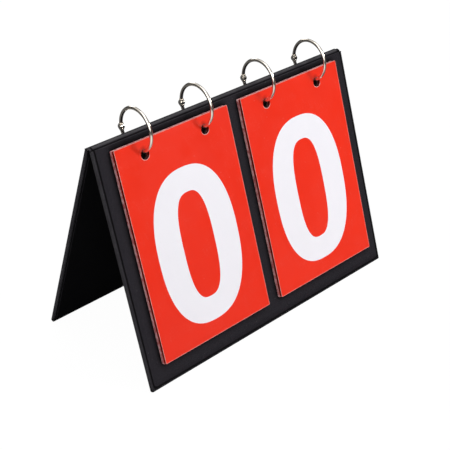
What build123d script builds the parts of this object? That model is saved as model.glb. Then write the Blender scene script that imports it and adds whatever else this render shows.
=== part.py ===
from build123d import *
from math import cos, degrees, radians, sin, sqrt
import os

# Tabletop flip scoreboard: two covered boards joined along a flexible ridge, with two decks of
# number cards that hang on split rings and are turned over the ridge one at a time.
# Millimetres. +Z is up, +X runs along the ridge, the cards face -Y, and the origin is the middle of
# the footprint on the table.

# ---- driving dimensions ----
# boards
BOARD_WIDTH = 220.0          # along the ridge
BOARD_HEIGHT = 157.0         # ridge line to the lower edge, measured down the slope
HALF_ANGLE = 18.2            # each board's lean from vertical when the stand is open
CORE_THICK = 2.0             # greyboard inside each board
SKIN_THICK = 0.35            # covering sheet
LINING_THICK = 0.2           # sheet glued over the inner face
HEM_WIDTH = 14.0             # covering turned in round the inner face
LINING_INSET = 3.0           # lining stops this far short of the board's edge
EDGE_ROUND = 0.8             # softness of the covered edges
CORNER_ROUND = 0.9           # plan radius of the boards' lower corners
FOLD_CLEAR = 0.2             # each inner face to the hinge plane, so the boards close without rubbing
RIDGE_GAP = 1.5              # each board's top edge to the hinge line
RIDGE_CROWN = 0.7            # rise of the covering between the two boards' top edges

# cards
CARD_COUNT = 10              # digits 0 to 9 in each deck
CARD_WIDTH = 92.0
CARD_HEIGHT = 138.0
CARD_THICK = 0.18
CARD_AIR = 0.02              # air between neighbouring cards
DECK_CLEAR = 0.1             # air between the last card and the board
DECK_GAP = 12.0              # between the two decks
CARD_CORNER = 0.6            # card corner radius
FRONT_CARD_LIFT = 1.25       # the front card curls this far off the deck
FRONT_CARD_DRIFT = 0.6       # and hangs this far along the ridge from the rest
CARD_HOLE_MARGIN = 9.2       # card's top edge to the middle of its punched holes

# split rings
RING_BORE = 25.4             # clear diameter inside the wire
WIRE_DIA = 2.2
RING_PITCH = 49.0            # between the two rings of one deck
RING_FORWARD = 3.3           # ring centre in front of the hinge line
RING_RISE = 2.7              # ring centre above the hinge line
KNUCKLE_ANGLE = -10.0        # hinge knuckle's place on the ring, from straight back, towards the top
KNUCKLE_DIA = 3.6
TONGUE_THICK = 0.9
FORK_THICK = 0.75            # each cheek of the fork
KNUCKLE_PLAY = 0.08          # tongue to fork cheek, each side
COLLAR_DIA = 2.9             # swell where each half is upset before its hinge end
COLLAR_LENGTH = 1.0          # along the wire
COLLAR_REACH = 2.4           # rivet to the far side of the collar
COLLAR_ROUND = 0.2
RIVET_DIA = 1.3
RIVET_PLAY = 0.05            # radial
RIVET_HEAD_DIA = 2.2
RIVET_HEAD_THICK = 0.3
SNAP_LENGTH = 4.5            # overlap of the two lips, along the wire
SNAP_PLAY = 0.05             # each lip to the ring's mid plane
SNAP_TOOTH_DIA = 0.7
SNAP_TOOTH_LENGTH = 1.6      # across the wire, within its round section

# punched holes, the same in cards and boards
HOLE_DIA = 6.4
CARD_REST = 0.3              # air left between the wire and the card's hole above it

# ---- derived sizes ----
LEAN_SIN = sin(radians(HALF_ANGLE))
LEAN_COS = cos(radians(HALF_ANGLE))
BOARD_THICK = LINING_THICK + SKIN_THICK + CORE_THICK + SKIN_THICK
OUTER_FACE = FOLD_CLEAR + BOARD_THICK            # hinge plane to a board's outer face
SKIN_INNER = FOLD_CLEAR + LINING_THICK           # hinge plane to the turned-in hem's face
RIDGE_Z = (LEAN_COS * (BOARD_HEIGHT - EDGE_ROUND)
           - LEAN_SIN * (SKIN_INNER + EDGE_ROUND) + EDGE_ROUND)
WIRE_RADIUS = WIRE_DIA / 2
RING_RADIUS = (RING_BORE + WIRE_DIA) / 2
CARD_PITCH = CARD_THICK + CARD_AIR
DECK_BACK = OUTER_FACE + DECK_CLEAR              # hinge plane to the last card's back
DECK_X = (CARD_WIDTH + DECK_GAP) / 2
FORK_WIDTH = TONGUE_THICK + 2 * (KNUCKLE_PLAY + FORK_THICK)
DECKS = {"left": -DECK_X, "right": DECK_X}
RING_X = [deck + side * RING_PITCH / 2 for deck in DECKS.values() for side in (-1, 1)]

# A board lies in its own plane: X along the ridge, Y up the slope from the hinge line, Z outwards
# from the hinge plane.
FRONT = Plane(origin=(0, 0, RIDGE_Z), x_dir=(1, 0, 0), z_dir=(0, -LEAN_COS, LEAN_SIN))
REAR = Plane(origin=(0, 0, RIDGE_Z), x_dir=(-1, 0, 0), z_dir=(0, LEAN_COS, LEAN_SIN))


def slab(width, low, high, back, front):
    """A flat block across the board, from low to high up the slope and back to front in depth."""
    middle = ((low + high) / 2, (back + front) / 2)
    return Pos(0, middle[0], middle[1]) * Box(width, high - low, front - back)


def wire_down(depth, towards_front):
    """How far below the hinge line the ring's wire crosses a board's plane at this depth."""
    side = 1 if towards_front else -1
    centre_down = side * RING_FORWARD * LEAN_SIN - RING_RISE * LEAN_COS
    centre_out = side * RING_FORWARD * LEAN_COS + RING_RISE * LEAN_SIN
    return centre_down + sqrt(RING_RADIUS ** 2 - (depth - centre_out) ** 2)


MID_BOARD = FOLD_CLEAR + BOARD_THICK / 2
BOARD_HOLE_DOWN = (wire_down(MID_BOARD, True) + wire_down(MID_BOARD, False)) / 2


def card_back(number):
    """Hinge plane to a card's back. Number 0 is the front card."""
    lift = FRONT_CARD_LIFT if number == 0 else 0
    return DECK_BACK + (CARD_COUNT - 1 - number) * CARD_PITCH + lift


def card_hole_down(number):
    """How far below the hinge line a card's holes are, as it hangs on the wire."""
    middle = card_back(number) + CARD_THICK / 2
    return wire_down(middle, True) + HOLE_DIA / 2 - WIRE_RADIUS - CARD_REST


def punches(places, down, back, front):
    """Round punches through a sheet that lies between back and front."""
    middle = (back + front) / 2
    length = front - back + 2
    return [Pos(x, -down, middle) * Cylinder(HOLE_DIA / 2, length) for x in places]


# ---- boards ----
def core():
    """Greyboard panel inside the covering."""
    back = SKIN_INNER + SKIN_THICK
    panel = slab(BOARD_WIDTH - 2 * SKIN_THICK, SKIN_THICK - BOARD_HEIGHT, -RIDGE_GAP,
                 back, back + CORE_THICK)
    corners = panel.edges().filter_by(Axis.Z).group_by(Axis.Y)[0]
    panel = fillet(corners, CORNER_ROUND - SKIN_THICK)
    return panel - punches(RING_X, BOARD_HOLE_DOWN, back, back + CORE_THICK)


def skin():
    """Covering sheet: the outer face, folded round three edges and hemmed on the inner face."""
    shell = slab(BOARD_WIDTH, -BOARD_HEIGHT, -RIDGE_GAP, SKIN_INNER, OUTER_FACE)
    shell = fillet(shell.edges().filter_by(Axis.Z).group_by(Axis.Y)[0], CORNER_ROUND)
    rim = shell.faces().sort_by(Axis.Z)[-1].edges() + shell.faces().sort_by(Axis.Z)[0].edges()
    rim = [edge for edge in rim if edge.center().Y < -RIDGE_GAP - SKIN_THICK]
    shell = fillet(rim, EDGE_ROUND)
    back = SKIN_INNER + SKIN_THICK
    pocket = slab(BOARD_WIDTH - 2 * SKIN_THICK, SKIN_THICK - BOARD_HEIGHT, 0,
                  back, back + CORE_THICK)
    pocket = fillet(pocket.edges().filter_by(Axis.Z).group_by(Axis.Y)[0],
                    CORNER_ROUND - SKIN_THICK)
    window = slab(BOARD_WIDTH - 2 * HEM_WIDTH, HEM_WIDTH - BOARD_HEIGHT, 0,
                  SKIN_INNER - 1, back + 1)
    return shell - pocket - window - punches(RING_X, BOARD_HOLE_DOWN, SKIN_INNER, OUTER_FACE)


def lining():
    """Inner sheet: over the hems near the edge, pressed down on the greyboard inside them."""
    sheet = slab(BOARD_WIDTH - 2 * LINING_INSET, LINING_INSET - BOARD_HEIGHT, -RIDGE_GAP,
                 FOLD_CLEAR, SKIN_INNER)
    middle = slab(BOARD_WIDTH - 2 * HEM_WIDTH, HEM_WIDTH - BOARD_HEIGHT, -RIDGE_GAP,
                  FOLD_CLEAR, SKIN_INNER + SKIN_THICK)
    both = sheet + middle
    return both - punches(RING_X, BOARD_HOLE_DOWN, FOLD_CLEAR, SKIN_INNER + SKIN_THICK)


def spine():
    """The covering where it crosses from one board's top edge to the other, in a low arch."""
    def shoulder(side, out):
        across = side * (RIDGE_GAP * LEAN_SIN + out * LEAN_COS)
        return (across, out * LEAN_SIN - RIDGE_GAP * LEAN_COS)
    inner = OUTER_FACE - SKIN_THICK
    crown = shoulder(1, OUTER_FACE)[1] + RIDGE_CROWN
    outside = ThreePointArc(shoulder(-1, OUTER_FACE), (0, crown), shoulder(1, OUTER_FACE))
    inside = ThreePointArc(shoulder(1, inner), (0, crown - SKIN_THICK), shoulder(-1, inner))
    ends = [Line(outside @ 1, inside @ 0), Line(inside @ 1, outside @ 0)]
    profile = make_face(Wire([outside, ends[0], inside, ends[1]]))
    across = Plane(origin=(-BOARD_WIDTH / 2, 0, RIDGE_Z), x_dir=(0, 1, 0), z_dir=(1, 0, 0))
    return extrude(across * profile, BOARD_WIDTH)


# ---- cards ----
def card(deck_x, number):
    """One number card; number 0 is at the front of its deck."""
    back = card_back(number)
    hole_down = card_hole_down(number)
    top = CARD_HOLE_MARGIN - hole_down
    sheet = slab(CARD_WIDTH, top - CARD_HEIGHT, top, back, back + CARD_THICK)
    sheet = fillet(sheet.edges().filter_by(Axis.Z), CARD_CORNER)
    sheet -= punches([-RING_PITCH / 2, RING_PITCH / 2], hole_down, back, back + CARD_THICK)
    drift = FRONT_CARD_DRIFT if number == 0 else 0
    return FRONT * Pos(deck_x + drift, 0, 0) * sheet


# ---- split rings ----
def ring_place(x):
    """A ring's own frame: Z along the ridge, X straight back, Y up, its centre at the origin."""
    return Plane(origin=(x, -RING_FORWARD, RIDGE_Z + RING_RISE), x_dir=(0, 1, 0), z_dir=(1, 0, 0))


def wire(start, end, section):
    """Wire of this section, bent round the ring from one angle to the other."""
    profile = Plane(origin=(RING_RADIUS, 0, 0), x_dir=(1, 0, 0), z_dir=(0, -1, 0)) * section
    bent = revolve(profile, Axis.Z, end - start)
    return Rot(0, 0, start) * bent


def half_section(side):
    """The part of the wire's round section that one lip of the snap keeps."""
    keep = Pos(0, side * (SNAP_PLAY + WIRE_DIA / 2)) * Rectangle(WIRE_DIA * 2, WIRE_DIA)
    return Circle(WIRE_RADIUS) & keep


def knuckle_disc(low, high, radius):
    """A disc round the hinge rivet, between two places along the ridge."""
    at = Rot(0, 0, KNUCKLE_ANGLE) * Pos(RING_RADIUS, 0, (low + high) / 2)
    return at * Cylinder(radius, high - low)


def collar(side):
    """The upset swell on one half, just before its hinge end."""
    far = KNUCKLE_ANGLE + side * degrees(COLLAR_REACH / RING_RADIUS)
    near = far - side * degrees(COLLAR_LENGTH / RING_RADIUS)
    swell = wire(min(near, far), max(near, far), Circle(COLLAR_DIA / 2))
    return fillet(swell.edges(), COLLAR_ROUND)


SNAP_ANGLE = KNUCKLE_ANGLE + 180
SNAP_HALF = degrees(SNAP_LENGTH / 2 / RING_RADIUS)
SNAP_END_PLAY = degrees(2 * SNAP_PLAY / RING_RADIUS)
KNUCKLE_SWEEP = KNUCKLE_DIA / 2 + KNUCKLE_PLAY


def snap_bar(play):
    """The small bar across the lips that holds the snap shut, or the groove that it drops into."""
    at = Rot(0, 0, SNAP_ANGLE) * Pos(RING_RADIUS, 0, 0) * Rot(0, 90, 0)
    return at * Cylinder(SNAP_TOOTH_DIA / 2 + play, SNAP_TOOTH_LENGTH + 2 * play)


def ring_lower():
    """The half that threads the boards and cards, with the hinge tongue and one snap lip."""
    body = wire(SNAP_ANGLE + SNAP_HALF, KNUCKLE_ANGLE + 360, Circle(WIRE_RADIUS))
    body += wire(SNAP_ANGLE - SNAP_HALF + SNAP_END_PLAY, SNAP_ANGLE + SNAP_HALF, half_section(-1))
    body += collar(-1)
    cheek = TONGUE_THICK / 2
    body -= knuckle_disc(cheek, FORK_WIDTH, KNUCKLE_SWEEP)
    body -= knuckle_disc(-FORK_WIDTH, -cheek, KNUCKLE_SWEEP)
    body += knuckle_disc(-cheek, cheek, KNUCKLE_DIA / 2)
    body -= knuckle_disc(-FORK_WIDTH, FORK_WIDTH, RIVET_DIA / 2 + RIVET_PLAY)
    return body - snap_bar(SNAP_PLAY)


def ring_upper():
    """The half that swings open, with the hinge fork and the other snap lip."""
    body = wire(KNUCKLE_ANGLE, SNAP_ANGLE - SNAP_HALF, Circle(WIRE_RADIUS))
    body += wire(SNAP_ANGLE - SNAP_HALF, SNAP_ANGLE + SNAP_HALF - SNAP_END_PLAY, half_section(1))
    body += collar(1)
    slot = TONGUE_THICK / 2 + KNUCKLE_PLAY
    for side in (-1, 1):
        low, high = sorted((side * slot, side * FORK_WIDTH / 2))
        body += knuckle_disc(low, high, KNUCKLE_DIA / 2)
    body -= knuckle_disc(-slot, slot, KNUCKLE_SWEEP)
    body -= knuckle_disc(-FORK_WIDTH, FORK_WIDTH, RIVET_DIA / 2 + RIVET_PLAY)
    return body + snap_bar(0)


def ring_rivet():
    """Headed pin that the two halves turn on."""
    half = FORK_WIDTH / 2
    pin = knuckle_disc(-half, half, RIVET_DIA / 2)
    pin += knuckle_disc(half, half + RIVET_HEAD_THICK, RIVET_HEAD_DIA / 2)
    return pin + knuckle_disc(-half - RIVET_HEAD_THICK, -half, RIVET_HEAD_DIA / 2)


# ---- assembly ----
def build():
    """Every node's solid, in place."""
    nodes = {"ridge_spine": spine()}
    sheets = {"core": core(), "skin": skin(), "lining": lining()}
    for name, sheet in sheets.items():
        nodes[f"front_{name}"] = FRONT * sheet
        nodes[f"rear_{name}"] = REAR * sheet
    halves = {"lower": ring_lower(), "upper": ring_upper(), "rivet": ring_rivet()}
    for index, x in enumerate(RING_X, start=1):
        for name, half in halves.items():
            nodes[f"ring_{index}_{name}"] = ring_place(x) * half
    for deck, x in DECKS.items():
        for number in range(CARD_COUNT):
            nodes[f"card_{deck}_{number}"] = card(x, number)
    return nodes


os.makedirs("parts", exist_ok=True)
for node, solid in build().items():
    export_step(solid, f"parts/{node}.step")
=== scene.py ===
# %% [markdown]
# # A tabletop flip scoreboard
# Two covered boards stand like a tent, and two decks of number cards hang on split rings over its
# ridge. The solid model already has every part at its true size, so it's the frame of this lesson.
# What is left for Blender is what the eye wants: leatherette, cut card, printed digits, bright wire
# and a soft studio.

# %% Load the frame
from math import asin, cos, exp, hypot, pi, radians, sin, sqrt

import bmesh
import bpy
from mathutils import Matrix, Vector


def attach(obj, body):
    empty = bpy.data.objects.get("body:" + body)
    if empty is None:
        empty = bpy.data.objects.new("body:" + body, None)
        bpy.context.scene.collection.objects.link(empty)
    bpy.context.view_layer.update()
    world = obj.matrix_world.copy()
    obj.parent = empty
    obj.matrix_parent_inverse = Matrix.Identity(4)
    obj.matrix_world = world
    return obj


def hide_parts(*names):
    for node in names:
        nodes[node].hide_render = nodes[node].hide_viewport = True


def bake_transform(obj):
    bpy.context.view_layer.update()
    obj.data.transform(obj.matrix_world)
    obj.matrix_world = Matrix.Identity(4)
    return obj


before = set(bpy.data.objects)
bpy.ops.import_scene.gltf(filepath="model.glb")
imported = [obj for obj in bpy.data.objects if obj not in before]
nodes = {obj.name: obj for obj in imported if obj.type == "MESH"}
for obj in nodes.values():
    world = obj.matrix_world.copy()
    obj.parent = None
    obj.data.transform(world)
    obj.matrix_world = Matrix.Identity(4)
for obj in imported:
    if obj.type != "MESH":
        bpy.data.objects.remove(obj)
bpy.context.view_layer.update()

print("solids in the frame:", len(nodes))

# %% [markdown]
# Every size below is one that the solid model was built from, in metres. The lean of a board and
# the height of the hinge line are enough to turn "so far down the board and so far out of it" into
# a place in the room, and nearly every later cell uses that.

# %% Sizes of the boards
BOARD_WIDTH = 0.220
BOARD_HEIGHT = 0.157
LEAN = radians(18.2)
RIDGE_GAP = 0.0015
OUTER_FACE = 0.0031
SKIN_THICK = 0.00035
RIDGE_Z = 0.1488108
print("hinge line at", RIDGE_Z, "m")


# %% A place on a board
def on_board(x, down, out, side=1):
    """The point this far along the ridge, down the slope and out from the hinge plane."""
    return Vector((x, -side * (down * sin(LEAN) + out * cos(LEAN)),
                   RIDGE_Z - down * cos(LEAN) + out * sin(LEAN)))


print("front board's lower edge is at z =", round(on_board(0, BOARD_HEIGHT, OUTER_FACE).z, 4))

# %% [markdown]
# ## The camera
# A long lens from a little above shows both decks without much spread. The view is turned about 44
# degrees to the left of straight on and looks down by about 30. The roll is a third of a degree, and
# the small shift keeps the tent in the middle of the picture. The lens and the point where its axis
# meets the picture are in picture dots, and the camera's stand is in board widths, so the same view
# would suit a larger tent.

# %% Camera
AZIMUTH = radians(-44.05)
ELEVATION = radians(29.97)
ROLL = radians(0.37)
FOCAL_PIXELS = 1116.8
PICTURE = 450
AXIS_ACROSS, AXIS_DOWN = 212.2, 196.4
STAND_BACK, STAND_LEFT, STAND_UP = 3.561, 0.0316, 0.2935

back = Vector((sin(AZIMUTH) * cos(ELEVATION), -cos(AZIMUTH) * cos(ELEVATION), sin(ELEVATION)))
level = Vector((cos(AZIMUTH), sin(AZIMUTH), 0))
upright = back.cross(level)
right = level * cos(ROLL) + upright * sin(ROLL)
up = upright * cos(ROLL) - level * sin(ROLL)
stand_point = (back * STAND_BACK - right * STAND_LEFT + up * STAND_UP) * BOARD_WIDTH

camera_data = bpy.data.cameras.new("camera")
camera_data.sensor_width = 36
camera_data.lens = FOCAL_PIXELS / PICTURE * 36
camera_data.shift_x = (PICTURE / 2 - AXIS_ACROSS) / PICTURE
camera_data.shift_y = (AXIS_DOWN - PICTURE / 2) / PICTURE
camera_data.clip_start = 0.01
camera = bpy.data.objects.new("camera", camera_data)
bpy.context.scene.collection.objects.link(camera)
camera.matrix_world = Matrix.Translation(stand_point) @ Matrix((right, up, back)).transposed().to_4x4()
bpy.context.scene.camera = camera
print("lens", round(camera_data.lens, 1), "mm, camera at", [round(c, 3) for c in stand_point])

# %% [markdown]
# ## Short names for node work
# A shader is a graph, and building one in code is mostly "make this node, set these inputs, join
# that output to it". A few small helpers say exactly that. An input given a number is set; an input
# given another node's output is joined to it.

# %% Helpers for shader graphs
def put(tree, kind, settings=None, **inputs_by_name):
    """A new node with these settings, and its inputs set or joined by name."""
    made = tree.nodes.new(kind)
    for name, value in (settings or {}).items():
        setattr(made, name, value)
    for name, value in inputs_by_name.items():
        feed(tree, made.inputs[name.replace("_", " ")], value)
    return made


def feed(tree, socket, value):
    """Joins an output to this input, or sets the input to a plain value."""
    if isinstance(value, bpy.types.NodeSocket):
        tree.links.new(value, socket)
    else:
        socket.default_value = value


def calc(tree, operation, first, second=0.0, third=0.0, clamp=False):
    """One Math node, as its output."""
    made = tree.nodes.new("ShaderNodeMath")
    made.operation = operation
    made.use_clamp = clamp
    for socket, value in zip(made.inputs, (first, second, third)):
        feed(tree, socket, value)
    return made.outputs[0]


def times(tree, first, second):
    """Two values multiplied, as its output."""
    return calc(tree, "MULTIPLY", first, second)


def less(tree, first, second):
    """The first value less the second, as its output."""
    return calc(tree, "SUBTRACT", first, second)


def fade_out(tree, distance, reach):
    """One at no distance, falling straight to nothing at this reach."""
    return calc(tree, "SUBTRACT", 1.0, calc(tree, "DIVIDE", distance, reach), clamp=True)


def remap(tree, value, low, high, new_low=0.0, new_high=1.0):
    """A smooth step from one range to another, as its output."""
    made = put(tree, "ShaderNodeMapRange", {"interpolation_type": "SMOOTHSTEP"}, Value=value)
    made.inputs["From Min"].default_value = low
    made.inputs["From Max"].default_value = high
    made.inputs["To Min"].default_value = new_low
    made.inputs["To Max"].default_value = new_high
    return made.outputs[0]


def noise(tree, point, scale, detail=3.0, rough=0.5):
    """A noise value at this scale, as its output."""
    made = put(tree, "ShaderNodeTexNoise", Vector=point, Scale=scale, Detail=detail, Roughness=rough)
    return made.outputs["Fac"]


def blend_colours(tree, share, first, second):
    """A colour between two, as its output."""
    made = tree.nodes.new("ShaderNodeMix")
    made.data_type = "RGBA"
    feed(tree, made.inputs[0], share)
    feed(tree, made.inputs[6], first)
    feed(tree, made.inputs[7], second)
    return made.outputs[2]


def stretch(tree, point, scale):
    """The point with each axis scaled by its own amount."""
    made = put(tree, "ShaderNodeVectorMath", {"operation": "MULTIPLY"})
    feed(tree, made.inputs[0], point)
    made.inputs[1].default_value = scale
    return made.outputs[0]


print("helpers ready")

# %% [markdown]
# A node group is a recipe with named inputs and outputs, so that grain or dust is worked out once
# and used on leatherette, card and metal with different amounts. `new_effect` opens an empty group
# with its sockets, and `use_effect` puts one in a material.

# %% Helpers for node groups
def new_effect(name, takes, gives):
    """An empty group. takes and gives list (socket name, socket type, default)."""
    tree = bpy.data.node_groups.new(name, "ShaderNodeTree")
    for direction, sockets in (("INPUT", takes), ("OUTPUT", gives)):
        for label, kind, default in sockets:
            socket = tree.interface.new_socket(name=label, in_out=direction, socket_type=kind)
            if default is not None:
                socket.default_value = default
    return tree, tree.nodes.new("NodeGroupInput").outputs, tree.nodes.new("NodeGroupOutput").inputs


def use_effect(tree, effect, **values):
    """This group placed in a material, as its outputs."""
    made = tree.nodes.new("ShaderNodeGroup")
    made.node_tree = effect
    for name, value in values.items():
        feed(tree, made.inputs[name.replace("_", " ")], value)
    return made.outputs


FLOAT = "NodeSocketFloat"
VECTOR = "NodeSocketVector"
print("group helpers ready")


# %% Helper for finishes
def new_finish(name):
    """A fresh material, with its tree, its shader and the point being shaded, in metres."""
    material = bpy.data.materials.new(name)
    material.use_nodes = True
    tree = material.node_tree
    point = put(tree, "ShaderNodeTexCoord").outputs["Object"]
    return material, tree, tree.nodes["Principled BSDF"], point


print("finish helper ready")

# %% [markdown]
# ## Where a point is on its board
# Rubbed edges and the pressed line inside them are found from a place on the board, not from a
# picture wrapped on it. The frame's parts sit at the origin with their place in their mesh, so
# object coordinates are already metres in the room. This group turns them into the distance along
# the ridge, down the slope and out of the board, for the front board with Side 1 and the rear board
# with Side -1.

# %% Effect: place on a board
board_place, given, result = new_effect(
    "Place on a board",
    [("Point", VECTOR, None), ("Side", FLOAT, 1.0)],
    [("Across", FLOAT, None), ("Down", FLOAT, None), ("Out", FLOAT, None)])
tree = board_place
split = put(tree, "ShaderNodeSeparateXYZ", Vector=given["Point"])
forward = times(tree, times(tree, split.outputs["Y"], -1.0), given["Side"])
height = less(tree, split.outputs["Z"], RIDGE_Z)
down = calc(tree, "MULTIPLY_ADD", forward, sin(LEAN), times(tree, height, -cos(LEAN)))
out = calc(tree, "MULTIPLY_ADD", forward, cos(LEAN), times(tree, height, sin(LEAN)))
feed(tree, result["Across"], split.outputs["X"])
feed(tree, result["Down"], down)
feed(tree, result["Out"], out)
print("effect:", board_place.name)

# %% [markdown]
# ## Leather grain
# Leatherette is a vinyl skin embossed by a roller: small rounded pebbles with creases between them,
# about half a millimetre across, with a few larger swellings under them. A cell pattern gives the
# pebbles, and bending its coordinates with a soft noise stops them looking like a honeycomb. The
# crease mask is given too; the covering is coloured darker and left duller there.

# %% Effect: pebbled grain
pebbled_grain, given, result = new_effect(
    "Pebbled grain",
    [("Point", VECTOR, None), ("Pebbles per metre", FLOAT, 1500.0), ("Unevenness", FLOAT, 0.35)],
    [("Height", FLOAT, None), ("Crease", FLOAT, None)])
tree = pebbled_grain
wobble = put(tree, "ShaderNodeTexNoise", Vector=given["Point"], Scale=900.0, Detail=2.0)
bent = put(tree, "ShaderNodeVectorMath", {"operation": "MULTIPLY_ADD"})
feed(tree, bent.inputs[0], wobble.outputs["Color"])
bent.inputs[1].default_value = (0.0006, 0.0006, 0.0006)
feed(tree, bent.inputs[2], given["Point"])
cells = put(tree, "ShaderNodeTexVoronoi", {"feature": "DISTANCE_TO_EDGE"},
            Vector=bent.outputs[0], Scale=given["Pebbles per metre"])
pebble = remap(tree, cells.outputs["Distance"], 0.0, 0.32)
swelling = noise(tree, given["Point"], 260.0, 4.0, 0.6)
mixed = calc(tree, "MULTIPLY_ADD", swelling, given["Unevenness"], pebble)
feed(tree, result["Height"], mixed)
feed(tree, result["Crease"], calc(tree, "SUBTRACT", 1.0, pebble, clamp=True))
print("effect:", pebbled_grain.name)

# %% [markdown]
# ## Worn and highlit edges
# Covered boards wear first where hands and shelves touch them: along the three folded edges and at
# the two lower corners. The mask is full at the edge and fades within a few millimetres, and two
# noises break it up, one for the patches and one for the fibres that show through. The lighter
# colour it gives is partly this wear and partly a painted highlight along the edges.

# %% Effect: worn and highlit board edges
worn_highlit_edges, given, result = new_effect(
    "Rubbed board edges",
    [("Point", VECTOR, None), ("Across", FLOAT, 0.0), ("Down", FLOAT, 0.0), ("Reach", FLOAT, 0.0016)],
    [("Mask", FLOAT, None), ("Edge distance", FLOAT, None)])
tree = worn_highlit_edges
to_side = less(tree, BOARD_WIDTH / 2, calc(tree, "ABSOLUTE", given["Across"]))
to_foot = less(tree, BOARD_HEIGHT, given["Down"])
nearest = calc(tree, "SMOOTH_MIN", to_side, to_foot, 0.004)
closeness = fade_out(tree, nearest, given["Reach"])
patches = remap(tree, noise(tree, given["Point"], 60.0, 3.0), 0.3, 0.7, 0.35, 1.0)
fibres = remap(tree, noise(tree, given["Point"], 1400.0, 2.0), 0.35, 0.65, 0.4, 1.0)
wear_and_highlight = times(tree, times(tree, closeness, patches), fibres)
feed(tree, result["Mask"], wear_and_highlight)
feed(tree, result["Edge distance"], nearest)
print("effect:", worn_highlit_edges.name)

# %% [markdown]
# ## Dust and handling marks
# Nothing that lives on a table is perfectly clean. Dust is a scatter of pale specks, stronger on
# faces that look up, and handling leaves broad dull patches where fingers take the shine off. Both
# go into one group, because leatherette, card and metal all use them at their own strength.

# %% Effect: dust and handling
handling, given, result = new_effect(
    "Dust and handling",
    [("Point", VECTOR, None), ("Specks per metre", FLOAT, 900.0), ("Speck share", FLOAT, 0.06)],
    [("Specks", FLOAT, None), ("Smudge", FLOAT, None)])
tree = handling
flecks = put(tree, "ShaderNodeTexVoronoi", {"feature": "F1"}, Vector=given["Point"],
             Scale=given["Specks per metre"])
chance = put(tree, "ShaderNodeSeparateColor", Color=flecks.outputs["Color"])
chosen = calc(tree, "LESS_THAN", chance.outputs[0], given["Speck share"])
near = calc(tree, "LESS_THAN", flecks.outputs["Distance"], 0.16)
facing = put(tree, "ShaderNodeNewGeometry")
facing_up = put(tree, "ShaderNodeSeparateXYZ", Vector=facing.outputs["Normal"])
lying = remap(tree, facing_up.outputs["Z"], -0.2, 1.0)
feed(tree, result["Specks"], times(tree, times(tree, chosen, near), lying))
feed(tree, result["Smudge"], remap(tree, noise(tree, given["Point"], 28.0, 4.0, 0.6), 0.38, 0.68))
print("effect:", handling.name)

# %% [markdown]
# ## Painted shade in the corners
# The strip beside a deck of cards, the slit behind the front card and the grooves of the ridge are
# given painted shade, a darker colour and a duller finish than the open surface. How much of the
# room a point can see sets where the shade is painted, so this mask is full where little is seen.

# %% Effect: painted shade in corners
painted_corner_shade, given, result = new_effect(
    "Grime in corners",
    [("Reach", FLOAT, 0.004), ("Sharpness", FLOAT, 1.5)],
    [("Mask", FLOAT, None)])
tree = painted_corner_shade
openness = put(tree, "ShaderNodeAmbientOcclusion", {"samples": 6}, Distance=given["Reach"])
closed_in = calc(tree, "SUBTRACT", 1.0, openness.outputs["AO"], clamp=True)
feed(tree, result["Mask"], calc(tree, "MULTIPLY", closed_in, given["Sharpness"], clamp=True))
print("effect:", painted_corner_shade.name)

# %% [markdown]
# ## Fine scratches
# Cards slide over each other and wire slides through cards, so both carry hairline scratches. A
# noise squeezed hard along one axis turns into long thin lines; where it crosses its middle value it
# leaves a hair. Two directions at once look like use, and one alone would look like brushing.

# %% Effect: fine scratches
fine_scratches, given, result = new_effect(
    "Fine scratches",
    [("Point", VECTOR, None), ("Lines per metre", FLOAT, 700.0), ("Share", FLOAT, 0.5)],
    [("Mask", FLOAT, None)])
tree = fine_scratches
hairs = []
for turn in (0.35, 1.9):
    turned = put(tree, "ShaderNodeVectorRotate", {"rotation_type": "AXIS_ANGLE"},
                 Vector=given["Point"], Axis=(0.3, 0.9, 0.2), Angle=turn)
    squeezed = stretch(tree, turned.outputs[0], (1.0, 0.5, 0.03))
    line = noise(tree, squeezed, given["Lines per metre"], 1.0)
    distance = calc(tree, "ABSOLUTE", less(tree, line, 0.5))
    hairs.append(remap(tree, distance, 0.0, 0.012, 1.0, 0.0))
either = calc(tree, "MAXIMUM", hairs[0], hairs[1])
gate = remap(tree, noise(tree, given["Point"], 90.0, 2.0), 0.45, 0.6)
feed(tree, result["Mask"], times(tree, times(tree, either, gate), given["Share"]))
print("effect:", fine_scratches.name)

# %% [markdown]
# ## The covering
# The boards are wrapped in a matt black leatherette. Black things are never pure black: this one is
# a charcoal that reflects two or three parts in a hundred, a little lighter where dust lies and on
# the edges and the crest of the ridge, partly rubbed wear and partly a painted highlight. Its shine
# is low and uneven, because the tops of the pebbles are polished by hands and the creases are not.
#
# A cover like this is closed by a heated bar that presses one narrow line all the way round, about
# two millimetres in from the edge. Outside the line the edge is a thin flat rim, and inside it the
# sheet swells gently over the greyboard. The line is shallow, so it is drawn in bump, and its colour
# is painted near-black as painted shade in the groove; both are worked out from the distance to the
# edge. The strip beside a deck and the grooves of the ridge get the same painted shade. The same
# recipe serves the front, the rear and the ridge, so it's written once as a function that takes the side.

# %% Finish: leatherette
SEAM_INSET = 0.0018
SEAM_WIDTH = 0.0016
SEAM_SOFTNESS = 0.0001
SWELL_REACH = 0.0042
SWELL_HEIGHT = 0.0008
GRAIN_HEIGHT = 0.00016


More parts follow.
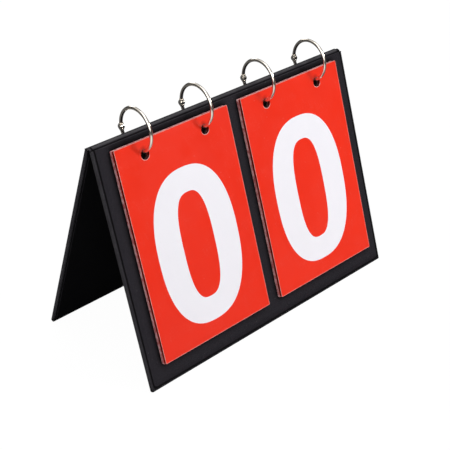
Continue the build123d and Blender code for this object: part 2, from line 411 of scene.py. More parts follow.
def leatherette(name, side, ridge=False):
    """Matt black embossed covering for one board, or for the ridge between them."""
    material, tree, shader, point = new_finish(name)
    place = use_effect(tree, board_place, Point=point, Side=side)
    grain = use_effect(tree, pebbled_grain, Point=point, Pebbles_per_metre=1350.0, Unevenness=0.5)
    marks = use_effect(tree, handling, Point=point, Specks_per_metre=650.0, Speck_share=0.05)
    edge = use_effect(tree, worn_highlit_edges, Point=point, Across=place["Across"], Down=place["Down"],
                      Reach=0.0014)
    wear_and_highlight = edge["Mask"]
    from_seam = calc(tree, "ABSOLUTE", less(tree, edge["Edge distance"], SEAM_INSET))
    seam = remap(tree, from_seam, SEAM_SOFTNESS, SEAM_WIDTH / 2 + SEAM_SOFTNESS, 1.0, 0.0)
    if ridge:
        # Along the crest of the ridge the lighter colour is partly wear and partly a painted highlight.
        worn = remap(tree, noise(tree, point, 70.0, 3.0), 0.35, 0.65, 0.35, 1.0)
        off_ridge = calc(tree, "ABSOLUTE", put(tree, "ShaderNodeSeparateXYZ", Vector=point).outputs["Y"])
        top = remap(tree, off_ridge, 0.0017, 0.0006)
        wear_and_highlight = calc(tree, "MAXIMUM", wear_and_highlight, times(tree, top, worn))
    cloudy = noise(tree, point, 14.0, 4.0, 0.55)
    ground = blend_colours(tree, cloudy, (0.0172, 0.0150, 0.0200, 1), (0.0272, 0.0240, 0.0305, 1))
    creased = blend_colours(tree, times(tree, grain["Crease"], 0.45), ground,
                            (0.0060, 0.0055, 0.0070, 1))
    # Lighter colour on the edges and the crest: partly rubbed wear, partly a painted highlight.
    worn_and_highlit = blend_colours(tree, times(tree, wear_and_highlight, 0.62), creased, (0.090, 0.087, 0.093, 1))
    dusty = blend_colours(tree, times(tree, marks["Specks"], 0.5), worn_and_highlit,
                          (0.33, 0.32, 0.31, 1))
    # Painted shade: near black where little of the room is seen and along the pressed line, with a duller
    # finish there too.
    painted_shade = use_effect(tree, painted_corner_shade, Reach=0.0055, Sharpness=2.6)["Mask"]
    painted_shade = calc(tree, "MAXIMUM", painted_shade, times(tree, seam, 0.95))
    feed(tree, shader.inputs["Base Color"],
         blend_colours(tree, painted_shade, dusty, (0.0006, 0.0005, 0.0006, 1)))
    shine = calc(tree, "MULTIPLY_ADD", marks["Smudge"], 0.10, 0.46)
    shine = calc(tree, "MULTIPLY_ADD", painted_shade, 0.45, shine)
    shine = calc(tree, "MULTIPLY_ADD", grain["Crease"], 0.16, shine)
    feed(tree, shader.inputs["Roughness"], calc(tree, "MULTIPLY_ADD", wear_and_highlight, 0.10, shine, clamp=True))
    padding = remap(tree, edge["Edge distance"], SEAM_INSET, SEAM_INSET + SWELL_REACH)
    pressed = calc(tree, "MULTIPLY_ADD", seam, -0.8, padding)
    padded = put(tree, "ShaderNodeBump", Height=pressed, Strength=1.0, Distance=SWELL_HEIGHT)
    relief = put(tree, "ShaderNodeBump", Height=grain["Height"], Strength=0.55, Distance=GRAIN_HEIGHT,
                 Normal=padded.outputs[0])
    feed(tree, shader.inputs["Normal"], relief.outputs[0])
    shader.inputs["Specular IOR Level"].default_value = 0.10
    return material


covering_front = leatherette("leatherette_front", 1.0)
covering_rear = leatherette("leatherette_rear", -1.0)
covering_ridge = leatherette("leatherette_ridge", 1.0, ridge=True)
print("finishes:", covering_front.name, covering_rear.name, covering_ridge.name)

# %% [markdown]
# ## The lining
# Inside the tent, each board is closed by a sheet of black bookbinder's cloth glued over the turned
# in hem. Bookcloth is a plain weave on paper, with threads about a third of a millimetre apart. Two
# sine waves at right angles, one across and one down the board, make warp and weft, and a checker
# of the two says which thread is on top.

# %% Effect: plain weave
plain_weave, given, result = new_effect(
    "Plain weave",
    [("Across", FLOAT, 0.0), ("Down", FLOAT, 0.0), ("Threads per metre", FLOAT, 2600.0)],
    [("Height", FLOAT, None), ("Gap", FLOAT, None)])
tree = plain_weave
angle_per_metre = times(tree, given["Threads per metre"], pi)
warp_angle = times(tree, given["Across"], angle_per_metre)
weft_angle = times(tree, given["Down"], angle_per_metre)
warp_round = calc(tree, "ABSOLUTE", calc(tree, "SINE", warp_angle))
weft_round = calc(tree, "ABSOLUTE", calc(tree, "SINE", weft_angle))
over = times(tree, calc(tree, "COSINE", warp_angle), calc(tree, "COSINE", weft_angle))
warp_up = calc(tree, "GREATER_THAN", over, 0.0)
thread = calc(tree, "ADD", times(tree, warp_round, warp_up),
              times(tree, weft_round, less(tree, 1.0, warp_up)))
feed(tree, result["Height"], thread)
feed(tree, result["Gap"], remap(tree, thread, 0.0, 0.35, 1.0, 0.0))
print("effect:", plain_weave.name)


# %% Finish: bookcloth lining
def bookcloth(name, side):
    """Black plain-woven lining glued inside a board, coloured darker still as painted shade."""
    material, tree, shader, point = new_finish(name)
    place = use_effect(tree, board_place, Point=point, Side=side)
    weave = use_effect(tree, plain_weave, Across=place["Across"], Down=place["Down"],
                       Threads_per_metre=2400.0)
    marks = use_effect(tree, handling, Point=point, Specks_per_metre=800.0, Speck_share=0.08)
    slub = noise(tree, stretch(tree, point, (1.0, 12.0, 12.0)), 90.0, 3.0)
    # The cloth's colours are set darker than black cloth itself: painted shade for the inside of the
    # tent.
    ground = blend_colours(tree, slub, (0.0012, 0.0012, 0.0017, 1), (0.0030, 0.0028, 0.0036, 1))
    gaps = blend_colours(tree, times(tree, weave["Gap"], 0.7), ground,
                         (0.0006, 0.0006, 0.0008, 1))
    feed(tree, shader.inputs["Base Color"],
         blend_colours(tree, times(tree, marks["Specks"], 0.5), gaps, (0.3, 0.3, 0.3, 1)))
    feed(tree, shader.inputs["Roughness"], calc(tree, "MULTIPLY_ADD", marks["Smudge"], 0.08, 0.78))
    relief = put(tree, "ShaderNodeBump", Height=weave["Height"], Strength=0.5, Distance=0.0001)
    feed(tree, shader.inputs["Normal"], relief.outputs[0])
    shader.inputs["Specular IOR Level"].default_value = 0.05
    return material


lining_front = bookcloth("bookcloth_front", 1.0)
lining_rear = bookcloth("bookcloth_rear", -1.0)
print("finishes:", lining_front.name, lining_rear.name)

# %% [markdown]
# ## Greyboard
# The stiff sheet inside each cover is greyboard, made of pulped waste paper. It shows only as a thin
# ring inside the punched holes, so it needs a plain fibrous grey with darker and paler flecks.

# %% Finish: greyboard
def pulp_board(name):
    """Grey pressed-pulp board, seen in the walls of the punched holes."""
    material, tree, shader, point = new_finish(name)
    fibre = noise(tree, stretch(tree, point, (1.0, 3.0, 3.0)), 1100.0, 4.0, 0.65)
    pulp = blend_colours(tree, remap(tree, fibre, 0.3, 0.7), (0.17, 0.155, 0.135, 1),
                         (0.36, 0.34, 0.31, 1))
    feed(tree, shader.inputs["Base Color"], pulp)
    feed(tree, shader.inputs["Roughness"], calc(tree, "MULTIPLY_ADD", fibre, 0.12, 0.84))
    relief = put(tree, "ShaderNodeBump", Height=fibre, Strength=0.6, Distance=0.0002)
    feed(tree, shader.inputs["Normal"], relief.outputs[0])
    return material


greyboard = pulp_board("greyboard")
print("finish:", greyboard.name)

# %% [markdown]
# ## The cards
# A number card is a white plastic sheet with a solid red printed on both faces. Its cut edge is pale
# with a pink cast. The cut edges of the cards behind the front one are given a darker red, which is
# painted shade and painted red light bounced between the cards, so the deck's side looks redder
# than the rim of the front card. The direction of the surface tells a face from a cut edge: a
# face looks straight out of the deck, and an edge looks sideways.
# The faces are glossy, with the faint orange peel of pressed sheet, and carry hairline scratches
# from sliding over each other.

# %% Sizes of the cards
CARD_COUNT = 10
CARD_WIDTH = 0.092
CARD_HEIGHT = 0.138
CARD_THICK = 0.00018
CARD_PITCH = 0.0002
DECK_BACK = 0.0032
DECK_MIDDLE = 0.052
CARD_HOLE_MARGIN = 0.0092
HOLE_RADIUS = 0.0032
RING_PITCH = 0.049
FRONT_CARD_LIFT = 0.00125
FRONT_CARD_DRIFT = 0.0006
WIRE_RADIUS = 0.0011
RING_RADIUS = 0.0138
RING_FORWARD = 0.0033
RING_RISE = 0.0027
CARD_REST = 0.0003
RING_DOWN = RING_FORWARD * sin(LEAN) - RING_RISE * cos(LEAN)
RING_OUT = RING_FORWARD * cos(LEAN) + RING_RISE * sin(LEAN)
WIRE_TO_HOLE = HOLE_RADIUS - WIRE_RADIUS - CARD_REST


def card_face(number):
    """How far out of the hinge plane the front of a card lies."""
    lift = FRONT_CARD_LIFT if number == 0 else 0
    return DECK_BACK + (CARD_COUNT - 1 - number) * CARD_PITCH + CARD_THICK + lift


def card_top(number):
    """How far down the board a card's top edge is, as its holes hang on the wire."""
    out = card_face(number) - CARD_THICK / 2
    wire = RING_DOWN + sqrt(RING_RADIUS ** 2 - (out - RING_OUT) ** 2)
    return wire + WIRE_TO_HOLE - CARD_HOLE_MARGIN


BEHIND_FRONT_CARD = card_face(0) - 1.5 * CARD_THICK
print("front card's face is", round(card_face(0) * 1000, 2), "mm out of the hinge plane")


# %% [markdown]
# Punching and guillotining leave marks that colour alone can't give. The film lifts in a pale hair
# along every cut edge. The lower rim of each hole is painted pale, a painted highlight for its lit
# wall, and the wall of the hole is painted dark, partly with metal dust and partly as painted shade.
# All three need to know how far a point is from the card's edge and from its holes, and the same
# circle that hangs the card on the wire gives that for every card.

# %% Effect: cut edges of a card
cut_edges, given, result = new_effect(
    "Cut edges of a card",
    [("Across", FLOAT, 0.0), ("Down", FLOAT, 0.0), ("Out", FLOAT, 0.0), ("Reach", FLOAT, 0.00045)],
    [("Rim", FLOAT, None), ("Hole rim", FLOAT, None), ("Below hole", FLOAT, None)])
tree = cut_edges
off_centre = less(tree, given["Out"], RING_OUT)
wire_square = less(tree, RING_RADIUS ** 2, times(tree, off_centre, off_centre))
hole_down = calc(tree, "ADD", calc(tree, "SQRT", wire_square), RING_DOWN + WIRE_TO_HOLE)
deck_side = times(tree, calc(tree, "SIGN", given["Across"]), DECK_MIDDLE)
loose = times(tree, calc(tree, "GREATER_THAN", given["Out"], BEHIND_FRONT_CARD),
              FRONT_CARD_DRIFT)
from_middle = less(tree, less(tree, given["Across"], deck_side), loose)
from_middle = calc(tree, "ABSOLUTE", from_middle)
from_hole = less(tree, given["Down"], hole_down)
to_side = less(tree, CARD_WIDTH / 2, from_middle)
to_top = calc(tree, "ADD", from_hole, CARD_HOLE_MARGIN)
to_foot = less(tree, CARD_HEIGHT, to_top)
to_edge = calc(tree, "MINIMUM", to_side, calc(tree, "MINIMUM", to_top, to_foot))
feed(tree, result["Rim"], fade_out(tree, to_edge, given["Reach"]))
hole_across = less(tree, from_middle, RING_PITCH / 2)
square = calc(tree, "MULTIPLY_ADD", hole_across, hole_across, times(tree, from_hole, from_hole))
past_hole = less(tree, calc(tree, "SQRT", square), HOLE_RADIUS)
feed(tree, result["Hole rim"], fade_out(tree, past_hole, given["Reach"]))
feed(tree, result["Below hole"], remap(tree, from_hole, 0.0, 0.0026))
print("effect:", cut_edges.name)


# %% Finish: printed card
def printed_card(name, red_deep, red_bright):
    """White-cored sheet printed red, with white cut edges."""
    material, tree, shader, point = new_finish(name)
    outward = put(tree, "ShaderNodeVectorMath", {"operation": "DOT_PRODUCT"})
    feed(tree, outward.inputs[0], point.node.outputs["Normal"])
    outward.inputs[1].default_value = (0.0, -cos(LEAN), sin(LEAN))
    face = calc(tree, "GREATER_THAN", calc(tree, "ABSOLUTE", outward.outputs["Value"]), 0.6)
    marks = use_effect(tree, handling, Point=point, Specks_per_metre=500.0, Speck_share=0.018)
    hairs = use_effect(tree, fine_scratches, Point=point, Lines_per_metre=620.0, Share=0.6)
    print_film = noise(tree, point, 11.0, 3.0)
    red = blend_colours(tree, print_film, red_deep, red_bright)
    red = blend_colours(tree, times(tree, hairs["Mask"], 0.10), red, (0.95, 0.42, 0.34, 1))
    place = use_effect(tree, board_place, Point=point, Side=1.0)
    foremost = calc(tree, "GREATER_THAN", place["Out"], BEHIND_FRONT_CARD)
    # The cut edges behind the front card are darker red: painted shade with painted red light bounced
    # between the cards. The front card's edge stays pale.
    edge_mottle = remap(tree, noise(tree, point, 420.0, 2.0), 0.35, 0.65)
    shaded_stack_edge = blend_colours(tree, edge_mottle, (0.58, 0.15, 0.16, 1), (0.98, 0.58, 0.58, 1))
    front_card_edge = blend_colours(tree, edge_mottle, (0.84, 0.55, 0.50, 1), (0.88, 0.76, 0.72, 1))
    core = blend_colours(tree, foremost, shaded_stack_edge, front_card_edge)
    colour = blend_colours(tree, face, core, red)
    cut = use_effect(tree, cut_edges, Across=place["Across"], Down=place["Down"], Out=place["Out"])
    worn = remap(tree, noise(tree, point, 260.0, 3.0), 0.3, 0.6, 0.45, 1.0)
    burr = times(tree, times(tree, cut["Rim"], worn), face)
    colour = blend_colours(tree, times(tree, burr, 0.6), colour, (0.88, 0.60, 0.55, 1))
    # The face just below each hole is painted pale: a painted highlight for the lit lower wall of the
    # hole.
    hole_rim_highlight = times(tree, times(tree, cut["Hole rim"], cut["Below hole"]), face)
    colour = blend_colours(tree, times(tree, hole_rim_highlight, 0.8), colour, (0.88, 0.80, 0.77, 1))
    # The wall of each hole is painted near black: partly metal dust, partly painted shade.
    hole_wall_dust_and_shade = times(tree, cut["Hole rim"], less(tree, 1.0, face))
    colour = blend_colours(tree, times(tree, hole_wall_dust_and_shade, 0.93), colour, (0.025, 0.006, 0.006, 1))
    # Painted shade: the slit behind the front card and other narrow gaps on the faces are painted a
    # near-black red.
    painted_slit_shade = use_effect(tree, painted_corner_shade, Reach=0.003, Sharpness=2.0)["Mask"]
    painted_slit_shade = times(tree, painted_slit_shade, face)
    colour = blend_colours(tree, times(tree, painted_slit_shade, 0.9), colour, (0.05, 0.002, 0.001, 1))
    colour = blend_colours(tree, times(tree, marks["Specks"], 0.3), colour, (0.8, 0.75, 0.72, 1))
    feed(tree, shader.inputs["Base Color"], colour)
    gloss = calc(tree, "MULTIPLY_ADD", marks["Smudge"], 0.08, 0.30)
    gloss = calc(tree, "MULTIPLY_ADD", hairs["Mask"], 0.25, gloss)
    matt_edge = times(tree, less(tree, 1.0, face), 0.3)
    feed(tree, shader.inputs["Roughness"], calc(tree, "ADD", gloss, matt_edge, clamp=True))
    peel = noise(tree, point, 480.0, 2.0)
    lay = noise(tree, point, 24.0, 1.0)
    film = calc(tree, "MULTIPLY_ADD", lay, 6.0, peel)
    relief = put(tree, "ShaderNodeBump", Height=film, Strength=0.16, Distance=0.00012)
    feed(tree, shader.inputs["Normal"], relief.outputs[0])
    shader.inputs["Specular IOR Level"].default_value = 0.35
    return material


card_red = printed_card("card_red", (0.80, 0.018, 0.002, 1), (0.89, 0.026, 0.004, 1))
print("finish:", card_red.name)

# %% [markdown]
# The digits are screen printed in opaque white. Screen ink stands a few hundredths of a millimetre
# above the sheet and dries less glossy than the film around it, with a fine mesh mark and a trace of
# red showing where it lies thin.

# %% Finish: white screen ink
def screen_ink(name):
    """Opaque white ink with the faint mark of the printing mesh."""
    material, tree, shader, point = new_finish(name)
    place = use_effect(tree, board_place, Point=point, Side=1.0)
    mesh_mark = use_effect(tree, plain_weave, Across=place["Across"], Down=place["Down"],
                           Threads_per_metre=4200.0)
    marks = use_effect(tree, handling, Point=point, Specks_per_metre=450.0, Speck_share=0.02)
    hairs = use_effect(tree, fine_scratches, Point=point, Lines_per_metre=560.0, Share=0.5)
    thin = remap(tree, noise(tree, point, 320.0, 4.0, 0.7), 0.62, 0.8)
    white = blend_colours(tree, noise(tree, point, 9.0, 2.0), (0.835, 0.82, 0.865, 1),
                          (0.885, 0.87, 0.92, 1))
    white = blend_colours(tree, times(tree, thin, 0.12), white, (0.86, 0.42, 0.38, 1))
    white = blend_colours(tree, times(tree, hairs["Mask"], 0.08), white, (0.6, 0.58, 0.58, 1))
    white = blend_colours(tree, times(tree, marks["Specks"], 0.3), white, (0.45, 0.43, 0.42, 1))
    feed(tree, shader.inputs["Base Color"], white)
    feed(tree, shader.inputs["Roughness"], calc(tree, "MULTIPLY_ADD", marks["Smudge"], 0.08, 0.42))
    relief = put(tree, "ShaderNodeBump", Height=mesh_mark["Height"], Strength=0.08, Distance=0.00004)
    feed(tree, shader.inputs["Normal"], relief.outputs[0])
    return material


ink_white = screen_ink("ink_white")
print("finish:", ink_white.name)

# %% [markdown]
# ## The rings
# Loose-leaf rings are round steel wire with a bright nickel plate. A mirror finish is easy to
# overdo, so the plate gets a slight warmth, a soft haze where fingers have been, hairlines and a few
# dark specks of grime. The rivet is bare steel, darker and duller.

# %% Finish: nickel plate
def nickel_plate(name, pale, dull, haze):
    """Bright plated steel with hairlines, haze and a little grime."""
    material, tree, shader, point = new_finish(name)
    marks = use_effect(tree, handling, Point=point, Specks_per_metre=1100.0, Speck_share=0.03)
    hairs = use_effect(tree, fine_scratches, Point=point, Lines_per_metre=1600.0, Share=0.8)
    patina = noise(tree, point, 180.0, 4.0, 0.6)
    plate = blend_colours(tree, patina, dull, pale)
    plate = blend_colours(tree, times(tree, hairs["Mask"], 0.25), plate, (0.42, 0.41, 0.40, 1))
    plate = blend_colours(tree, times(tree, marks["Specks"], 0.4), plate, (0.30, 0.29, 0.28, 1))
    feed(tree, shader.inputs["Base Color"], plate)
    specks = times(tree, marks["Specks"], 0.4)
    feed(tree, shader.inputs["Metallic"], less(tree, 1.0, specks))
    gloss = calc(tree, "MULTIPLY_ADD", patina, 0.07, haze)
    gloss = calc(tree, "MULTIPLY_ADD", hairs["Mask"], 0.2, gloss, clamp=True)
    feed(tree, shader.inputs["Roughness"], gloss)
    drawn = noise(tree, point, 900.0, 3.0)
    relief = put(tree, "ShaderNodeBump", Height=drawn, Strength=0.06, Distance=0.00006)
    feed(tree, shader.inputs["Normal"], relief.outputs[0])
    return material


ring_plate = nickel_plate("nickel_plate", (0.95, 0.89, 0.80, 1), (0.70, 0.63, 0.54, 1), 0.07)
rivet_steel = nickel_plate("rivet_steel", (0.62, 0.60, 0.57, 1), (0.46, 0.45, 0.43, 1), 0.24)
print("finishes:", ring_plate.name, rivet_steel.name)

# %% [markdown]
# ## Dressing the solids
# The boards, cards and rings already have their true shape, so they stay as they are and only
# change material. A table of name endings keeps this to one loop, and the loop prints how many
# solids each finish went to.

# %% Give each solid its finish
finishes = {
    "front_core": greyboard, "rear_core": greyboard,
    "front_skin": covering_front, "rear_skin": covering_rear, "ridge_spine": covering_ridge,
    "front_lining": lining_front, "rear_lining": lining_rear,
}
for name in nodes:
    if name.startswith("card_"):
        finishes[name] = card_red
    elif name.endswith("_rivet"):
        finishes[name] = rivet_steel
    elif name.startswith("ring_"):
        finishes[name] = ring_plate
for name, finish in finishes.items():
    slots = nodes[name].data.materials
    slots.clear()
    slots.append(finish)
for finish in sorted(set(finishes.values()), key=lambda f: f.name):
    print(finish.name, "on", sum(1 for f in finishes.values() if f is finish), "solids")

# %% [markdown]
# ## The ridge
# One sheet of leatherette runs over both boards, so the top is soft and moves with the fold. The
# solid there is one stiff strip. This piece replaces it with a finely divided strip that follows the
# front board on one side, the rear board on the other, and turns smoothly in between. Its section is
# a low arch from one board's top edge to the other. A bookbinder presses the sheet down beside each
# edge so that it folds in the same place every time, so the arch has a shallow groove near each
# shoulder and a rounded bead between them.

# %% Ridge covering
RIDGE_CROWN = 0.0007
GROOVE_DEPTH = 0.0007
GROOVE_AT, GROOVE_SPREAD = 0.62, 0.12
BEAD_SHARE, BEAD_SPREAD = 0.45, 0.34
ARCH_STEPS, LENGTH_STEPS = 40, 44


def ridge_section(inset):
    """Points of the arch from the front board to the rear, this far inside the outer face."""
    start = on_board(0, RIDGE_GAP, OUTER_FACE - inset)
    half, low = -start.y, start.z
    crown = on_board(0, RIDGE_GAP, OUTER_FACE).z + RIDGE_CROWN - inset
    radius = (half ** 2 + (crown - low) ** 2) / (2 * (crown - low))
    reach = asin(half / radius)
    points = []
    for i in range(ARCH_STEPS + 1):
        share = 2 * i / ARCH_STEPS - 1
        angle = share * reach
        groove = exp(-((abs(share) - GROOVE_AT) / GROOVE_SPREAD) ** 2)
        bead = BEAD_SHARE * exp(-(share / BEAD_SPREAD) ** 2)
        size = radius - GROOVE_DEPTH * (groove - bead)
        points.append(Vector((0, size * sin(angle), crown - radius + size * cos(angle))))
    return points


def placed(name, mesh, material):
    """A finished sketch mesh as an object in the scene, with its material."""
    data = bpy.data.meshes.new(name)
    mesh.to_mesh(data)
    mesh.free()
    data.materials.append(material)
    made = bpy.data.objects.new(name, data)
    bpy.context.scene.collection.objects.link(made)
    return made


def sheet_over(name, outer, inner, left, right, steps, material):
    """A thin sheet between two profiles, drawn out along the ridge."""
    loop = outer + inner[::-1]
    mesh = bmesh.new()
    rows = []
    for i in range(steps + 1):
        x = left + (right - left) * i / steps
        rows.append([mesh.verts.new((x, p.y, p.z)) for p in loop])
    for one, two in zip(rows, rows[1:]):
        for i in range(len(loop)):
            j = (i + 1) % len(loop)
            mesh.faces.new((one[i], one[j], two[j], two[i]))
    half = len(outer)
    for row, order in ((rows[0], 1), (rows[-1], -1)):
        for i in range(half - 1):
            quad = (row[i], row[i + 1], row[len(loop) - 2 - i], row[len(loop) - 1 - i])
            mesh.faces.new(quad[::order])
    bmesh.ops.recalc_face_normals(mesh, faces=mesh.faces)
    return placed(name, mesh, material)


ridge_cover = sheet_over("ridge_cover", ridge_section(0.0), ridge_section(SKIN_THICK),
                         -BOARD_WIDTH / 2, BOARD_WIDTH / 2, LENGTH_STEPS, covering_ridge)
for polygon in ridge_cover.data.polygons:
    polygon.use_smooth = True
ridge_cover.data.set_sharp_from_angle(angle=radians(40))
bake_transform(ridge_cover)
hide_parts("ridge_spine")
print("ridge covering:", len(ridge_cover.data.polygons), "faces")

# %% [markdown]
# ## The digits
# The numerals are a heavy condensed face, 66 mm wide and 102 mm tall on a card of 92 by 138 mm, set
# a little below the middle to leave room for the holes. Such a face is drawn with a broad pen: a
# stroke is about 20 mm wide where it runs down and 14.5 mm where it runs across, which is what an
# ellipse gives when it's dragged along a line. So each digit here is a few pen strokes, with flat
# shapes where the face has square corners. The nought is too plain for that to be exact: it's the
# gap between two rounded rectangles, a full outer one and a narrow inner one.

# %% The pen
PEN_ACROSS = 10.0
PEN_DOWN = 7.25


def pen_side(point, direction, side):
    """Where the edge of the pen's ellipse runs, left or right of a stroke."""
    across, down = -direction[1] * side, direction[0] * side
    size = hypot(PEN_ACROSS * across, PEN_DOWN * down)
    return (point[0] + PEN_ACROSS ** 2 * across / size, point[1] + PEN_DOWN ** 2 * down / size)


def smooth_line(points, steps=8, closed=False):
    """A smooth line through given points."""
    count = len(points)
    pick = (lambda i: points[i % count]) if closed else (lambda i: points[min(max(i, 0), count - 1)])
    line = []
    for i in range(count if closed else count - 1):
        a, b, c, d = (pick(i + k) for k in (-1, 0, 1, 2))
        for k in range(steps):
            t = k / steps
            line.append(tuple(
                0.5 * (2 * b[n] + (c[n] - a[n]) * t + (2 * a[n] - 5 * b[n] + 4 * c[n] - d[n]) * t * t
                       + (3 * b[n] - a[n] - 3 * c[n] + d[n]) * t ** 3) for n in (0, 1)))
    return line if closed else line + [points[-1]]


def stroke(points, closed=False):
    """The two sides of a pen stroke along a smooth line, and whether it closes."""
    line = smooth_line(points, closed=closed)
    count = len(line)
    sides = ([], [])
    for i, point in enumerate(line):
        before = line[(i - 1) % count] if closed else line[max(i - 1, 0)]
        after = line[(i + 1) % count] if closed else line[min(i + 1, count - 1)]
        length = hypot(after[0] - before[0], after[1] - before[1])
        direction = ((after[0] - before[0]) / length, (after[1] - before[1]) / length)
        sides[0].append(pen_side(point, direction, 1))
        sides[1].append(pen_side(point, direction, -1))
    return ("strip", sides, closed)


def flat(*points):
    """A flat shape with straight sides."""
    return ("shape", points, True)


def round_frame(half_width, half_height, squareness, count=96, middle=(0, 0)):
    """Points of a rounded rectangle, between an ellipse and a box."""
    def pushed_out(part):
        return abs(part) ** (2 / squareness) * (1 if part >= 0 else -1)

    angles = [2 * pi * i / count for i in range(count)]
    return [(middle[0] + half_width * pushed_out(cos(angle)),
             middle[1] + half_height * pushed_out(sin(angle))) for angle in angles]


print("pen is", 2 * PEN_ACROSS, "mm down strokes and", 2 * PEN_DOWN, "mm across")

# %% [markdown]
# The strokes of each digit are set in millimetres from the middle of the numeral, as a sign
# writer would mark them on squared paper. A nine is a six turned round, as in most faces of this
# kind, and an eight is two closed loops, the upper one a little smaller so it doesn't look top heavy.

# %% Strokes of every digit
six_line = [(21.5, 26), (16, 37.5), (3.5, 43.75), (-9.5, 40), (-19, 27), (-23, 6), (-23, -14),
            (-19, -33), (-9, -42.3), (1, -43.75), (13, -40), (21.5, -28), (23, -14), (20, -0.5),
            (11, 8.5), (0, 11), (-11, 7.5), (-21, -3)]
digits = {
    0: [("strip", (round_frame(33, 51, 2.42), round_frame(12.9, 35, 2.8)), True)],
    1: [flat((19, -51), (19, 51), (2, 51), (-21, 36), (-21, 19), (-1, 29.5), (-1, -51))],
    2: [stroke([(-23, 17), (-22, 26), (-16.5, 37), (-7, 42.6), (2, 43.75), (13, 41), (21, 32.5), (23, 21),
                (19.5, 6), (10, -11), (-3, -27), (-15, -41)]),
        flat((-32, -51), (33, -51), (33, -36.5), (-28, -36.5))],
    3: [stroke([(-22, 24), (-19, 35), (-9, 42.3), (1, 43.75), (13, 41), (20.5, 32), (20.8, 21),
                (15.5, 9.5), (4, 3.4), (-8, 2.6)]),
        stroke([(-8, 2.6), (6, 2.0), (17.5, -3.5), (23, -15), (22.5, -28), (15, -39), (2, -43.75),
                (-10, -42), (-19, -35), (-23, -24)])],
    4: [flat((4, -51), (24, -51), (24, 51), (4, 51)),
        flat((-33, -31), (33, -31), (33, -16.5), (-33, -16.5)),
        flat((-33, -16.5), (-13.5, -16.5), (14, 51), (-4, 51))],
    5: [flat((-27, 36.5), (29, 36.5), (29, 51), (-27, 51)),
        flat((-29, 2), (-9.5, 2), (-8, 51), (-27, 51)),
        stroke([(-19.5, 6.5), (-9, 13.5), (3, 15), (14.5, 11), (22, 0), (23, -14), (20, -29), (11, -40),
                (-1, -43.75), (-12, -41.8), (-20, -34.5), (-23, -25)])],
    6: [stroke(six_line)],
    7: [flat((-31, 36.5), (33, 36.5), (33, 51), (-31, 51)),
        flat((33, 51), (33, 38), (20, 12), (11, -15), (7, -51), (-13.5, -51), (-9, -17), (1, 14),
             (13, 38))],
    8: [stroke(round_frame(20.5, 21.2, 2.15, 20, (0, 22.55)), closed=True),
        stroke(round_frame(23, 23.2, 2.15, 20, (0, -20.55)), closed=True)],
    9: [stroke([(-x, -y) for x, y in six_line])],
}
print("digits drawn:", len(digits), "with", sum(len(d) for d in digits.values()), "strokes and shapes")

# %% [markdown]
# Ink is a film of its own, so a digit is a thin raised plate that lies on its card, and it rides on
# that card's body, so it turns over the ridge with it. Behind the front card there are only two
# hundredths of a millimetre between sheets, so the film there is thinner still. Strokes that cross
# are laid a hair apart, one over the next, as if they were pulled one after the other.

# %% Print a digit on a card
DIGIT_DROP = 0.0765
FRONT_FILM, FILM = 0.00004, 0.000012
FIRST_LAYER, LAYER_STEP, INK_BODY = 0.15, 0.1, 0.5


def print_digit(name, number, deck_middle, body, film):
    """Raised ink for one digit, on the face of its card."""
    middle = deck_middle + (FRONT_CARD_DRIFT if number == 0 else 0)
    level = card_top(number) + DIGIT_DROP
    mesh = bmesh.new()
    for layer, (kind, outline, closed) in enumerate(digits[number]):
        out = card_face(number) + film * (FIRST_LAYER + LAYER_STEP * layer)

        def lay(point):
            return mesh.verts.new(on_board(middle + point[0] / 1000, level - point[1] / 1000, out))

        if kind == "shape":
            made = [mesh.faces.new([lay(p) for p in outline])]
        else:
            one, two = [lay(p) for p in outline[0]], [lay(p) for p in outline[1]]
            count = len(one)
            made = [mesh.faces.new((one[i], two[i], two[(i + 1) % count], one[(i + 1) % count]))
                    for i in range(count if closed else count - 1)]
        grown = bmesh.ops.extrude_face_region(mesh, geom=made)
        raised = [g for g in grown["geom"] if isinstance(g, bmesh.types.BMVert)]
        outward = on_board(0, 0, 1) - on_board(0, 0, 0)
        bmesh.ops.translate(mesh, vec=outward * film * INK_BODY, verts=raised)
    bmesh.ops.recalc_face_normals(mesh, faces=mesh.faces)
    made = placed(name, mesh, ink_white)
    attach(made, body)
    return made


printed = []
for deck, middle in (("left", -DECK_MIDDLE), ("right", DECK_MIDDLE)):
    for number in range(CARD_COUNT):
        film = FRONT_FILM if number == 0 else FILM
        body = f"card_{deck}_{number}"
        printed.append(print_digit(f"digit_{deck}_{number}", number, middle, body, film))
print("digits printed:", len(printed))

# %% [markdown]
# ## The studio
# The scoreboard stands on a plain pale floor under soft light. Bright wire is only as good as what
# it mirrors: in an all-white room it would be a white line on white. So the room has a pale ceiling,
# dim walls and one large white card held up at the front left, which only shiny things see. The
# floor looks white from above and still takes the tent's shadow. In a mirror it glows white in a
# painted pool of light in front of the tent and falls away to dark beyond, so each ring gets a bright
# middle and a dark outline.

# %% Floor and room
POOL_MIDDLE = (-0.26, -0.30, 0.0)
CARD_DIRECTION = (-0.50, -0.62, 0.60)


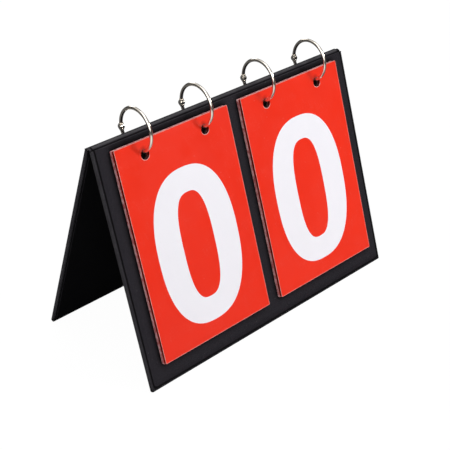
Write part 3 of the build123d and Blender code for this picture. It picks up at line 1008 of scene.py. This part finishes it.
def white_floor():
    """A pale matt floor that reads as white and keeps a shadow."""
    material, tree, shader, point = new_finish("studio_floor")
    shader.inputs["Base Color"].default_value = (0.72, 0.72, 0.72, 1)
    shader.inputs["Roughness"].default_value = 0.95
    shader.inputs["Specular IOR Level"].default_value = 0.0
    ray = put(tree, "ShaderNodeLightPath")
    spot = put(tree, "ShaderNodeVectorMath", {"operation": "DISTANCE"})
    feed(tree, spot.inputs[0], point)
    spot.inputs[1].default_value = POOL_MIDDLE
    # A painted pool of light: in mirrors the floor glows white near this point and darker beyond.
    outside_pool = remap(tree, spot.outputs["Value"], 0.16, 0.40, 0.0, 0.93)
    in_mirror = times(tree, ray.outputs["Is Glossy Ray"], outside_pool)
    brightness = less(tree, 1.03, in_mirror)
    glow = put(tree, "ShaderNodeEmission", Color=(1, 1, 1, 1), Strength=brightness)
    seen = calc(tree, "MAXIMUM", ray.outputs["Is Camera Ray"], ray.outputs["Is Glossy Ray"])
    seen = calc(tree, "MAXIMUM", seen, ray.outputs["Is Transmission Ray"])
    mixed = tree.nodes.new("ShaderNodeMixShader")
    feed(tree, mixed.inputs[0], times(tree, seen, 0.95))
    feed(tree, mixed.inputs[1], shader.outputs[0])
    feed(tree, mixed.inputs[2], glow.outputs[0])
    feed(tree, tree.nodes["Material Output"].inputs["Surface"], mixed.outputs[0])
    return material


floor_mesh = bmesh.new()
bmesh.ops.create_grid(floor_mesh, x_segments=8, y_segments=8, size=6.0)
floor = placed("floor", floor_mesh, white_floor())

room = bpy.data.worlds.new("room")
room.use_nodes = True
bpy.context.scene.world = room
tree = room.node_tree
sky = tree.nodes["Background"]
direction = put(tree, "ShaderNodeTexCoord").outputs["Generated"]
rise = put(tree, "ShaderNodeSeparateXYZ", Vector=direction).outputs["Z"]
ceiling = remap(tree, rise, 0.3, 0.95, 0.04, 0.9)
ray = put(tree, "ShaderNodeLightPath")
toward = put(tree, "ShaderNodeVectorMath", {"operation": "DOT_PRODUCT"})
feed(tree, toward.inputs[0], direction)
toward.inputs[1].default_value = CARD_DIRECTION
reflector = remap(tree, toward.outputs["Value"], 0.74, 0.84, 0.0, 1.9)
reflector = times(tree, reflector, ray.outputs["Is Glossy Ray"])
lit = calc(tree, "MAXIMUM", ceiling, reflector)
seen = calc(tree, "MAXIMUM", ray.outputs["Is Camera Ray"], ray.outputs["Is Transmission Ray"])
feed(tree, sky.inputs["Strength"], calc(tree, "MAXIMUM", seen, lit))
sky.inputs["Color"].default_value = (1, 1, 1, 1)
bpy.context.scene.view_settings.view_transform = "Standard"
print("floor and room ready")

# %% [markdown]
# Four lamps are enough. The key stands to the front and right and throws the short shadows beside
# the decks and under the rings. The fill, low on the left, opens the edges of the cards. The rear
# lamp is for anyone who walks round the tent, and the top lamp draws the line along the ridge. All
# are kept low enough that a colour renders about as it's written.

# %% Soft lamps
MIDDLE_OF_TENT = (0, 0, 0.07)


def soft_lamp(name, place, size, power):
    """A square soft light that faces the middle of the tent."""
    data = bpy.data.lights.new(name, "AREA")
    data.shape = "RECTANGLE"
    data.size = size[0]
    data.size_y = size[1]
    data.energy = power
    made = bpy.data.objects.new(name, data)
    bpy.context.scene.collection.objects.link(made)
    made.location = place
    made.rotation_euler = (Vector(MIDDLE_OF_TENT) - Vector(place)).to_track_quat("-Z", "Y").to_euler()
    return made


lamps = [
    soft_lamp("key", (0.60, -0.95, 0.75), (0.32, 0.30), 8.6),
    soft_lamp("fill", (-1.0, -0.45, 0.55), (0.5, 0.9), 1.6),
    soft_lamp("rear", (0.35, 1.1, 0.7), (0.7, 0.5), 4.0),
    soft_lamp("top", (0.1, -0.1, 1.2), (0.8, 0.5), 2.85),
]
print("lamps:", [lamp.name for lamp in lamps])
